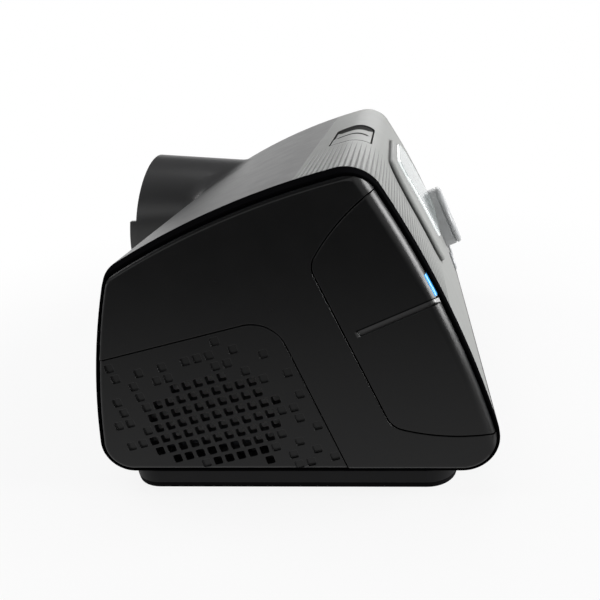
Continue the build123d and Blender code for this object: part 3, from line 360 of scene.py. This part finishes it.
# ---- Screen window and display
# A clear polished window stands a little proud of the face, held from behind by its lip. The dark
# display shows through it; nothing is lit while the machine is off.
def clear_plastic(name, tint, roughness, outward):
    """Clear polished moulding whose cut edges are given a pale glow, painted light standing in for the light
    that the sheet gathers.
    """
    finish = moulding(name, tint, roughness, 0.5, grain=0.004, relief=0.0000003, mottle=0.01)
    tree = finish.node_tree
    clear = tree.nodes["Principled BSDF"]
    clear.inputs["IOR"].default_value = 1.49
    facing = tree.nodes.new("ShaderNodeNewGeometry")
    square_on = tree.nodes.new("ShaderNodeVectorMath")
    square_on.operation = "DOT_PRODUCT"
    square_on.inputs[1].default_value = outward
    tree.links.new(facing.outputs["True Normal"], square_on.inputs[0])
    # Painted light: emission rises where the faces turn away from the window's face, so the cut edges glow.
    for socket, at_edge, on_face in (("Transmission Weight", 0.1, 1.0), ("Emission Strength", 0.35, 0.0)):
        share = tree.nodes.new("ShaderNodeMapRange")
        share.inputs["From Min"].default_value = 0.6
        share.inputs["From Max"].default_value = 0.85
        share.inputs["To Min"].default_value = at_edge
        share.inputs["To Max"].default_value = on_face
        tree.links.new(square_on.outputs["Value"], share.inputs["Value"])
        tree.links.new(share.outputs["Result"], clear.inputs[socket])
    clear.inputs["Emission Color"].default_value = (0.86, 0.92, 0.87, 1)
    return finish


face_normal = (0, -0.894, 0.447)
finish_part("screen_window", clear_plastic("clear_window", (0.9, 0.93, 0.95), 0.06, face_normal))
display = moulding("display_glass", (0.12, 0.15, 0.18), 0.15, 0.5, grain=0.0003, relief=0.000002)
finish_part("display_module", display)


# ---- Card light window
# A narrow strip of translucent blue plastic, set into the front edge of the card cover beside its finger
# groove. Its faint glow is painted light: the strip is given an emission of its own.
blue_window = moulding("blue_window", (0.05, 0.36, 0.8), 0.25, 0.5, grain=0.0006, relief=0.000006)
glow = blue_window.node_tree.nodes["Principled BSDF"]
glow.inputs["Emission Color"].default_value = (0.08, 0.42, 0.95, 1)
glow.inputs["Emission Strength"].default_value = 0.6
finish_part("card_light_window", blue_window)


# ---- Memory card and its socket
# A plain dark card, pushed into a steel socket behind the floor of the bay. The same bare steel
# serves for the case screws, the dial's shaft and the motor.
def steel(name, colour, roughness, brush):
    """Bare steel with drawn marks along X; brush is the spacing of the marks in metres."""
    finish = bpy.data.materials.new(name)
    finish.use_nodes = True
    tree = finish.node_tree
    metal = tree.nodes["Principled BSDF"]
    metal.inputs["Metallic"].default_value = 1.0
    place = tree.nodes.new("ShaderNodeTexCoord")
    drawn = tree.nodes.new("ShaderNodeMapping")
    drawn.inputs["Scale"].default_value = (0.05, 1, 1)
    tree.links.new(place.outputs["Object"], drawn.inputs["Vector"])
    marks = tree.nodes.new("ShaderNodeTexNoise")
    marks.inputs["Scale"].default_value = 1 / brush
    marks.inputs["Detail"].default_value = 3.0
    tree.links.new(drawn.outputs["Vector"], marks.inputs["Vector"])
    tone = tree.nodes.new("ShaderNodeValToRGB")
    tone.color_ramp.elements[0].color = [c * 0.8 for c in colour] + [1]
    tone.color_ramp.elements[1].color = [min(c * 1.1, 1) for c in colour] + [1]
    tree.links.new(marks.outputs["Fac"], tone.inputs["Fac"])
    tree.links.new(tone.outputs["Color"], metal.inputs["Base Color"])
    sheen = tree.nodes.new("ShaderNodeMapRange")
    sheen.inputs["To Min"].default_value = roughness - 0.08
    sheen.inputs["To Max"].default_value = roughness + 0.08
    tree.links.new(marks.outputs["Fac"], sheen.inputs["Value"])
    tree.links.new(sheen.outputs["Result"], metal.inputs["Roughness"])
    skin = tree.nodes.new("ShaderNodeBump")
    skin.inputs["Strength"].default_value = 0.4
    skin.inputs["Distance"].default_value = 0.00001
    tree.links.new(marks.outputs["Fac"], skin.inputs["Height"])
    tree.links.new(skin.outputs["Normal"], metal.inputs["Normal"])
    return finish


finish_part("memory_card", moulding("card_blue", (0.02, 0.03, 0.07), 0.45, grain=0.0002))
bare_steel = steel("bare_steel", (0.55, 0.55, 0.56), 0.35, 0.0004)
for node in ("card_socket", "case_screws", "dial_shaft", "motor", "motor_shaft"):
    finish_part(node, bare_steel)


# ---- Air filter and muffler foam
# The filter is a pad of pale felted fibre behind the grille; the muffler behind it is lined with
# dark open-cell foam.
def fibre(name, colour, size, relief):
    """Felted or open-cell fibre: soft, matt and uneven. Sizes in metres."""
    finish = moulding(name, colour, 0.9, 0.1, grain=size, relief=relief, mottle=0.18)
    pad = finish.node_tree.nodes["Principled BSDF"]
    pad.inputs["Sheen Weight"].default_value = 0.3
    return finish


finish_part("air_filter", fibre("filter_felt", (0.78, 0.76, 0.75), 0.0005, 0.0002))
finish_part("muffler_foam", fibre("open_foam", (0.02, 0.02, 0.022), 0.0012, 0.0004))


# ---- Blower, muffler box and elbow
# The air path inside the case: a moulded muffler box, a rubber elbow, the two halves of the scroll
# round a white impeller, and rubber mounts under the motor.
blower_plastic = moulding("blower_plastic", (0.10, 0.11, 0.125), 0.5)
for node in ("inlet_muffler", "blower_scroll_upper", "blower_scroll_lower"):
    finish_part(node, blower_plastic)
grey_rubber = moulding("grey_rubber", (0.30, 0.31, 0.32), 0.7, 0.3, grain=0.0006, relief=0.00004)
for node in ("inlet_elbow", "outlet_boot", "blower_mounts"):
    finish_part(node, grey_rubber)
white_plastic = moulding("white_plastic", (0.7, 0.7, 0.68), 0.45)
finish_part("impeller", white_plastic)
finish_part("dial_slider", white_plastic)


# ---- Hose connector
# A dark rigid tube of the standard hose size, turned smooth, that stands out of the shroud's floor
# and is held by a flange behind it.
def mesh_piece(name, corners, faces, finish):
    """New piece of the machine's own body from corner points and faces."""
    mesh = bpy.data.meshes.new(name)
    mesh.from_pydata(corners, [], faces)
    mesh.shade_smooth()
    mesh.set_sharp_from_angle(angle=math.radians(35))
    mesh.materials.append(finish)
    piece = bpy.data.objects.new(name, mesh)
    bpy.context.scene.collection.objects.link(piece)
    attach(piece, "machine")
    return piece


def ring_faces(rounds, corners, closed):
    """Faces between the rounds of a swept section; an open sweep gets its two end faces."""
    faces = []
    for turn in range(rounds if closed else rounds - 1):
        here = turn * corners
        there = (turn + 1) % rounds * corners
        for corner in range(corners):
            after = (corner + 1) % corners
            faces.append((here + corner, here + after, there + after, there + corner))
    if not closed:
        faces.append(tuple(reversed(range(corners))))
        faces.append(tuple((rounds - 1) * corners + corner for corner in range(corners)))
    return faces


outlet_x = 0.0465
outlet_z = 0.0495
tube_outer = 0.0110
tube_root = 0.0108
tube_bore = 0.0092
tube_flange = 0.0140
tube_end = 0.0774
tube_section = (             # y and radius, round the wall of the tube
    (0.0440, tube_bore), (0.0440, tube_root),
    (0.0540, tube_root), (0.0540, tube_flange), (0.0560, tube_flange), (0.0560, tube_root),
    (0.0591, tube_root), (0.0591, tube_outer),
    (0.0769, tube_outer), (0.0773, 0.0108), (tube_end, 0.0105),
    (tube_end, 0.0097), (0.0772, 0.0093), (0.0769, tube_bore),
)
turns = 96
tube_corners = []
for turn in range(turns):
    angle = math.tau * turn / turns
    for y, r in tube_section:
        tube_corners.append((outlet_x + r * math.cos(angle), y, outlet_z + r * math.sin(angle)))
tube_plastic = moulding("tube_plastic", (0.018, 0.018, 0.02), 0.35, relief=0.000008)
tube_faces = ring_faces(turns, len(tube_section), True)
hose_spigot = mesh_piece("hose_spigot", tube_corners, tube_faces, tube_plastic)
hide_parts("outlet_tube")


# ---- Lip under the hose connector
# The lower half of the socket belongs to the case and stands a little out of the cover's mouth,
# ending in a plain edge at the height of the connector's middle.
def mouth_y(z):
    """Mouth of the shroud, which leans back from top to bottom."""
    return mouth_top_y + (mouth_top_z - z) * mouth_rake


mouth_top_y = 0.0700
mouth_top_z = 0.0725
mouth_rake = 0.1495          # tangent of the mouth's lean
lip_top = 0.0504
lip_outer = 0.0231
lip_inner = 0.0212
lip_proud = 0.0025           # past the mouth at its two ends
lip_proud_low = 0.00465      # and at the bottom
lip_sunk = 0.001             # of its root behind the mouth
lip_steps = 60
lip_rise = math.asin((lip_top - outlet_z) / lip_outer)
lip_corners = []
for step in range(lip_steps + 1):
    angle = math.pi - lip_rise + (math.pi + 2 * lip_rise) * step / lip_steps
    for r, outer_end in ((lip_outer, False), (lip_outer, True), (lip_inner, True), (lip_inner, False)):
        z = outlet_z + r * math.sin(angle)
        depth = (lip_top - z) / (lip_top - outlet_z + lip_outer)
        proud = lip_proud + (lip_proud_low - lip_proud) * depth * depth if outer_end else -lip_sunk
        lip_corners.append((outlet_x + r * math.cos(angle), mouth_y(z) + proud, z))
mesh_piece("socket_lip", lip_corners, ring_faces(lip_steps + 1, 4, False), grey_cover)


# ---- Boards, encoder, power inlet and data port
# Two green circuit boards with the dial's encoder, the round power inlet and the data port. The
# inlet's contact pins show at the back, and the data port sits behind its own cover.
board_green = moulding("solder_mask", (0.01, 0.07, 0.025), 0.3, grain=0.0008, relief=0.00002)
finish_part("face_board", board_green)
finish_part("main_board", board_green)
connector_black = moulding("connector_black", (0.012, 0.012, 0.013), 0.42)
for node in ("dial_encoder", "power_inlet", "data_port"):
    finish_part(node, connector_black)


# ---- Floor, backdrop and light
# A plain pale floor and five square soft lights: two above, one before the face, one beside the
# right end and one behind. In gloss the floor shows darker on the left and the backdrop overhead.
def panel_light(name, place, aim, size, power, mirrored=True):
    """Square soft light aimed at a point; mirrored says whether it shows in the gloss of the machine."""
    lamp = bpy.data.lights.new(name, "AREA")
    lamp.size = size
    lamp.energy = power
    holder = bpy.data.objects.new(name, lamp)
    bpy.context.scene.collection.objects.link(holder)
    holder.location = place
    holder.visible_glossy = mirrored
    holder.rotation_euler = (Vector(aim) - Vector(place)).to_track_quat("-Z", "Y").to_euler()


def ray_kind(tree, kinds):
    """1 for rays of any of these kinds, 0 for the rest."""
    seen = tree.nodes.new("ShaderNodeLightPath")
    any_kind = seen.outputs[kinds[0]]
    for kind in kinds[1:]:
        any_kind = calculate(tree, "MAXIMUM", any_kind, seen.outputs[kind])
    return any_kind


floor_mesh = bpy.data.meshes.new("floor")
floor_mesh.from_pydata([(-6, -6, 0), (6, -6, 0), (6, 6, 0), (-6, 6, 0)], [], [(0, 1, 2, 3)])
floor = bpy.data.objects.new("floor", floor_mesh)
bpy.context.scene.collection.objects.link(floor)
paper = bpy.data.materials.new("paper")
paper.use_nodes = True
paper_tree = paper.node_tree
paper_tree.nodes.clear()
floor_place = paper_tree.nodes.new("ShaderNodeTexCoord")
far_off = paper_tree.nodes.new("ShaderNodeVectorMath")
far_off.operation = "LENGTH"
paper_tree.links.new(floor_place.outputs["Object"], far_off.inputs[0])
fade = paper_tree.nodes.new("ShaderNodeMapRange")
fade.inputs["From Min"].default_value = 0.12
fade.inputs["From Max"].default_value = 0.24
fade.inputs["To Min"].default_value = 0.88
fade.inputs["To Max"].default_value = 1.0
paper_tree.links.new(far_off.outputs["Value"], fade.inputs["Value"])
pale_paper = paper_tree.nodes.new("ShaderNodeBsdfDiffuse")
pale_paper.inputs["Color"].default_value = (0.95, 0.95, 0.95, 1)
white = paper_tree.nodes.new("ShaderNodeEmission")
white.inputs["Strength"].default_value = 1.0
seen_paper = paper_tree.nodes.new("ShaderNodeMixShader")
paper_tree.links.new(fade.outputs["Result"], seen_paper.inputs["Fac"])
paper_tree.links.new(pale_paper.outputs["BSDF"], seen_paper.inputs[1])
paper_tree.links.new(white.outputs["Emission"], seen_paper.inputs[2])
bounce = paper_tree.nodes.new("ShaderNodeBsdfDiffuse")
bounce.inputs["Color"].default_value = (0.25, 0.25, 0.25, 1)
blend = paper_tree.nodes.new("ShaderNodeMixShader")
paper_tree.links.new(ray_kind(paper_tree, ("Is Camera Ray", "Is Transmission Ray")), blend.inputs["Fac"])
paper_tree.links.new(bounce.outputs["BSDF"], blend.inputs[1])
paper_tree.links.new(seen_paper.outputs["Shader"], blend.inputs[2])
along = paper_tree.nodes.new("ShaderNodeSeparateXYZ")
paper_tree.links.new(floor_place.outputs["Object"], along.inputs["Vector"])
side_share = paper_tree.nodes.new("ShaderNodeMapRange")
side_share.inputs["From Min"].default_value = -0.5
side_share.inputs["From Max"].default_value = 0.3
paper_tree.links.new(along.outputs["X"], side_share.inputs["Value"])
dim_side = paper_tree.nodes.new("ShaderNodeValToRGB")
dim_side.color_ramp.elements[0].position = 0.0
dim_side.color_ramp.elements[0].color = (0.03, 0.03, 0.03, 1)
dim_side.color_ramp.elements[1].position = 1.0
dim_side.color_ramp.elements[1].color = (1, 1, 1, 1)
near_end = dim_side.color_ramp.elements.new(0.5)
near_end.color = (0.45, 0.45, 0.45, 1)
beyond_end = dim_side.color_ramp.elements.new(0.32)
beyond_end.color = (0.1, 0.1, 0.1, 1)
paper_tree.links.new(side_share.outputs["Result"], dim_side.inputs["Fac"])
mirrored = paper_tree.nodes.new("ShaderNodeEmission")
paper_tree.links.new(dim_side.outputs["Color"], mirrored.inputs["Color"])
paper_glossy = paper_tree.nodes.new("ShaderNodeMixShader")
paper_tree.links.new(ray_kind(paper_tree, ("Is Glossy Ray",)), paper_glossy.inputs["Fac"])
paper_tree.links.new(blend.outputs["Shader"], paper_glossy.inputs[1])
paper_tree.links.new(mirrored.outputs["Emission"], paper_glossy.inputs[2])
paper_result = paper_tree.nodes.new("ShaderNodeOutputMaterial")
paper_tree.links.new(paper_glossy.outputs["Shader"], paper_result.inputs["Surface"])
floor_mesh.materials.append(paper)

world = bpy.data.worlds.new("studio")
bpy.context.scene.world = world
world.use_nodes = True
sky_tree = world.node_tree
sky_tree.nodes.clear()
air = sky_tree.nodes.new("ShaderNodeBackground")
air.inputs["Color"].default_value = (0.95, 0.97, 1, 1)
air.inputs["Strength"].default_value = 0.15
backdrop = sky_tree.nodes.new("ShaderNodeBackground")
backdrop.inputs["Color"].default_value = (1, 1, 1, 1)
backdrop.inputs["Strength"].default_value = 1.0
sky_blend = sky_tree.nodes.new("ShaderNodeMixShader")
sky_tree.links.new(ray_kind(sky_tree, ("Is Camera Ray", "Is Transmission Ray")), sky_blend.inputs["Fac"])
sky_tree.links.new(air.outputs["Background"], sky_blend.inputs[1])
sky_tree.links.new(backdrop.outputs["Background"], sky_blend.inputs[2])
towards = sky_tree.nodes.new("ShaderNodeTexCoord")
height = sky_tree.nodes.new("ShaderNodeSeparateXYZ")
sky_tree.links.new(towards.outputs["Generated"], height.inputs["Vector"])
ceiling = sky_tree.nodes.new("ShaderNodeMapRange")
ceiling.inputs["From Min"].default_value = 0.25
ceiling.inputs["From Max"].default_value = 0.45
ceiling.inputs["To Min"].default_value = 1.0
ceiling.inputs["To Max"].default_value = 0.1
sky_tree.links.new(height.outputs["Z"], ceiling.inputs["Value"])
sky_mirrored = sky_tree.nodes.new("ShaderNodeBackground")
sky_tree.links.new(ceiling.outputs["Result"], sky_mirrored.inputs["Strength"])
sky_glossy = sky_tree.nodes.new("ShaderNodeMixShader")
sky_tree.links.new(ray_kind(sky_tree, ("Is Glossy Ray",)), sky_glossy.inputs["Fac"])
sky_tree.links.new(sky_blend.outputs["Shader"], sky_glossy.inputs[1])
sky_tree.links.new(sky_mirrored.outputs["Background"], sky_glossy.inputs[2])
sky_result = sky_tree.nodes.new("ShaderNodeOutputWorld")
sky_tree.links.new(sky_glossy.outputs["Shader"], sky_result.inputs["Surface"])

machine_middle = (0, 0, 0.05)
panel_light("light_above", (0.1, -0.1, 0.9), machine_middle, 0.42, 0.85)
panel_light("light_above_rear", (0.0, 0.5, 0.8), machine_middle, 0.5, 2.2, False)
panel_light("light_front", (-0.06, -0.95, 0.28), machine_middle, 0.5, 10)
panel_light("light_right", (0.95, -0.1, 0.45), machine_middle, 0.5, 2)
panel_light("light_rear", (0.35, 0.95, 0.4), machine_middle, 0.5, 2)

bpy.context.scene.view_settings.view_transform = "Standard"


# ---- Camera
# It stands close to the left end, looking a little down along the machine. Its shift is kept small
# so that the machine stays in frame from other sides.
eye = bpy.data.cameras.new("camera")
eye.lens = 38.4
eye.sensor_width = 36.0
eye.shift_x = -0.08
eye.shift_y = -0.158
eye.clip_start = 0.01
camera = bpy.data.objects.new("camera", eye)
bpy.context.scene.collection.objects.link(camera)
heading = math.radians(4.7397)
dip = math.radians(14.0705)
lean = math.radians(-3.0825)
camera.location = (-0.211028, -0.029371, 0.113092)
ahead = Vector((math.cos(heading) * math.cos(dip), math.sin(heading) * math.cos(dip), -math.sin(dip)))
upright = ahead.to_track_quat("-Z", "Y").to_matrix()
camera.rotation_euler = (upright @ Matrix.Rotation(lean, 3, "Z")).to_euler()
bpy.context.scene.camera = camera
